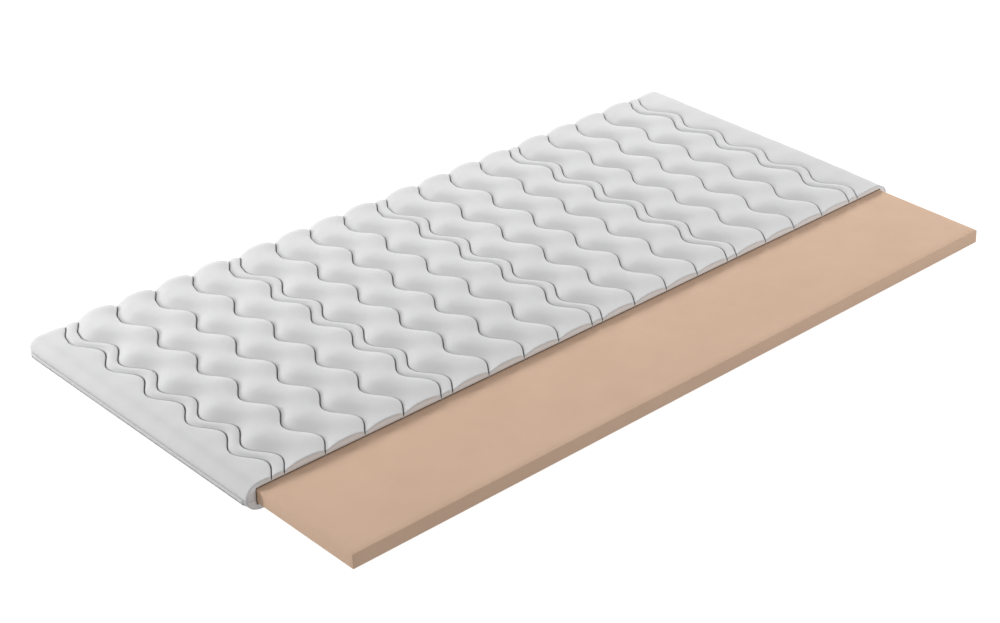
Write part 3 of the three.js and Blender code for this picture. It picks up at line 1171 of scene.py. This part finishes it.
# Teeth in two rows, each bent over the other row's edge, set along the zip's middle line.
def toothTree():
    tree, source, sockets = newTree("zipCoil", coil)
    given = source.outputs
    half = calc(tree, "MULTIPLY", given["Tooth Length"], 0.5)
    over = calc(tree, "MULTIPLY", half, given["Over"])
    forward = calc(tree, "MULTIPLY", given["Pitch"], given["Forward"])
    bend = ({"X": calc(tree, "MULTIPLY", half, -1.0)}, {"Y": given["Rise"]}, {"X": over, "Z": forward})
    number = addNode(tree, "GeometryNodeInputIndex")
    other = calc(tree, "MODULO", number.outputs["Index"], 2.0)
    mirrored = calc(tree, "MULTIPLY_ADD", other, -2.0, 1.0)
    scale = addNode(tree, "ShaderNodeCombineXYZ", {"X": mirrored, "Y": 1.0, "Z": 1.0})
    step = calc(tree, "MULTIPLY", given["Pitch"], 0.5)
    rodsAlongPaths(tree, source, step, bend, 4, given["Tooth Thick"], Scale=scale.outputs["Vector"])
    return tree, sockets


def makeCoil():
    along = np.linspace(zipStart - zipStrip["coilSpare"], zipEnd, zipStrip["coilPoints"])
    path = sidePlace((zipTopShare + zipLowShare) / 2, along, tapeProud)
    tree, sockets = toothTree()
    mesh = meshAlongPaths("zipCoil", [path], tree, sockets, {"material": materials["coilNylon"]})
    faceOutwards(mesh)
    piece = linkObject("zipCoil", mesh)
    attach(piece, "root")
    return piece


# the routes of the stitches along both edges of the tape
def tapeRoutes():
    along = np.linspace(zipStart + zipStrip["stitchSpare"], zipEnd, zipStrip["stitchPoints"])
    proud = tapeProud + zipStrip["stitchProud"]
    inset = zipStrip["stitchInset"]
    return [sidePlace(share, along, proud) for share in (zipTopShare + inset, zipLowShare - inset)]


zipTape, tapeWidth = makeTape()
zipCoil = makeCoil()
zipStitches = makeStitches("zipStitches", tapeRoutes(), tapeStitch)
print("zip strip made,", len(zipCoil.data.polygons), "coil faces")


# Studio

studio = {
    "floorHalf": 15.0,
    "floorColour": (0.35, 0.35, 0.35),
    "floorGlow": 0.9,
    "skyStrength": 0.42,
    "backdropStrength": 1.0,
    "lampAim": (0, 0, 0),
}

# large soft lamps: where each hangs, its size and its power
lamps = {
    "farBackLamp": ((3.85, 2.7, 1.71), 1.3, 133.0),
    "nearBackLamp": ((-4.88, 3.05, 1.7), 1.2, 119.0),
    "highNearBackLamp": ((-1.62, 1.62, 1.43), 0.8, 11.6),
    "backLamp": ((0, 2.29, 1.43), 0.8, 11.6),
    "lowFrontLamp": ((1.6, -3.0, 0.3), 0.5, 5.0),
    "rightLamp": ((2.26, -2.26, 1.16), 1.2, 17.5),
}


def makeFloor():
    half = studio["floorHalf"]
    mesh = bpy.data.meshes.new("studioFloor")
    corners = [(-half, -half, 0), (half, -half, 0), (half, half, 0), (-half, half, 0)]
    mesh.from_pydata(corners, [], [(0, 1, 2, 3)])
    finish = newMaterial(
        "paleFloor", studio["floorColour"], 1.0, Specular_IOR_Level=0.0,
        Emission_Color=(1, 1, 1, 1), Emission_Strength=studio["floorGlow"],
    )
    mesh.materials.append(finish[0])
    floor = linkObject("studioFloor", mesh)
    floor.visible_diffuse = False


# a white backdrop that lights the mattress less than it shows
def makeWorld():
    world = bpy.data.worlds.new("studioWorld")
    world.use_nodes = True
    tree = world.node_tree
    sky = tree.nodes["Background"]
    backdrop = tree.nodes.new("ShaderNodeBackground")
    for light, strength in ((sky, "skyStrength"), (backdrop, "backdropStrength")):
        light.inputs["Color"].default_value = (1, 1, 1, 1)
        light.inputs["Strength"].default_value = studio[strength]
    path = addNode(tree, "ShaderNodeLightPath")
    mix = addNode(
        tree, "ShaderNodeMixShader",
        {0: path.outputs["Is Camera Ray"], 1: sky.outputs["Background"], 2: backdrop.outputs["Background"]},
    )
    tree.links.new(mix.outputs["Shader"], tree.nodes["World Output"].inputs["Surface"])
    bpy.context.scene.world = world


def makeLamp(name, place, size, power):
    data = bpy.data.lights.new(name, "AREA")
    data.shape = "SQUARE"
    data.size = size
    data.energy = power
    light = bpy.data.objects.new(name, data)
    light.location = place
    away = Vector(studio["lampAim"]) - Vector(place)
    light.rotation_euler = away.to_track_quat("-Z", "Y").to_euler()
    light.visible_camera = False
    bpy.context.scene.collection.objects.link(light)


# The camera's place and turn, from the foam's corners and edges as they lie in a 1000 x 623 frame.
view = {
    "frameWide": 1000,
    "frameHigh": 623,
    "focalPixels": 2210.0,
    "centrePixel": (688.8, 190.8),
    "azimuth": -45.063,
    "elevation": 26.465,
    "roll": 0.13,
    "fromFoamCorner": (-2.074, -3.008, 2.631),
}


def makeCamera():
    data = bpy.data.cameras.new("camera")
    data.sensor_width = 36.0
    data.lens = view["focalPixels"] * data.sensor_width / view["frameWide"]
    data.shift_x = (view["frameWide"] / 2 - view["centrePixel"][0]) / view["frameWide"]
    data.shift_y = (view["centrePixel"][1] - view["frameHigh"] / 2) / view["frameWide"]
    azimuth, elevation, roll = (math.radians(view[k]) for k in ("azimuth", "elevation", "roll"))
    back = Vector((
        math.sin(azimuth) * math.cos(elevation),
        -math.cos(azimuth) * math.cos(elevation),
        math.sin(elevation),
    ))
    level = Vector((math.cos(azimuth), math.sin(azimuth), 0))
    upright = back.cross(level)
    right = level * math.cos(roll) + upright * math.sin(roll)
    up = upright * math.cos(roll) - level * math.sin(roll)
    camera = bpy.data.objects.new("camera", data)
    camera.rotation_mode = "QUATERNION"
    camera.rotation_quaternion = Matrix((right, up, back)).transposed().to_quaternion()
    camera.location = foamLow + Vector(view["fromFoamCorner"])
    bpy.context.scene.collection.objects.link(camera)
    bpy.context.scene.camera = camera


makeFloor()
makeWorld()
for name, lamp in lamps.items():
    makeLamp(name, *lamp)
makeCamera()
bpy.context.scene.view_settings.view_transform = "Standard"
print("studio set")
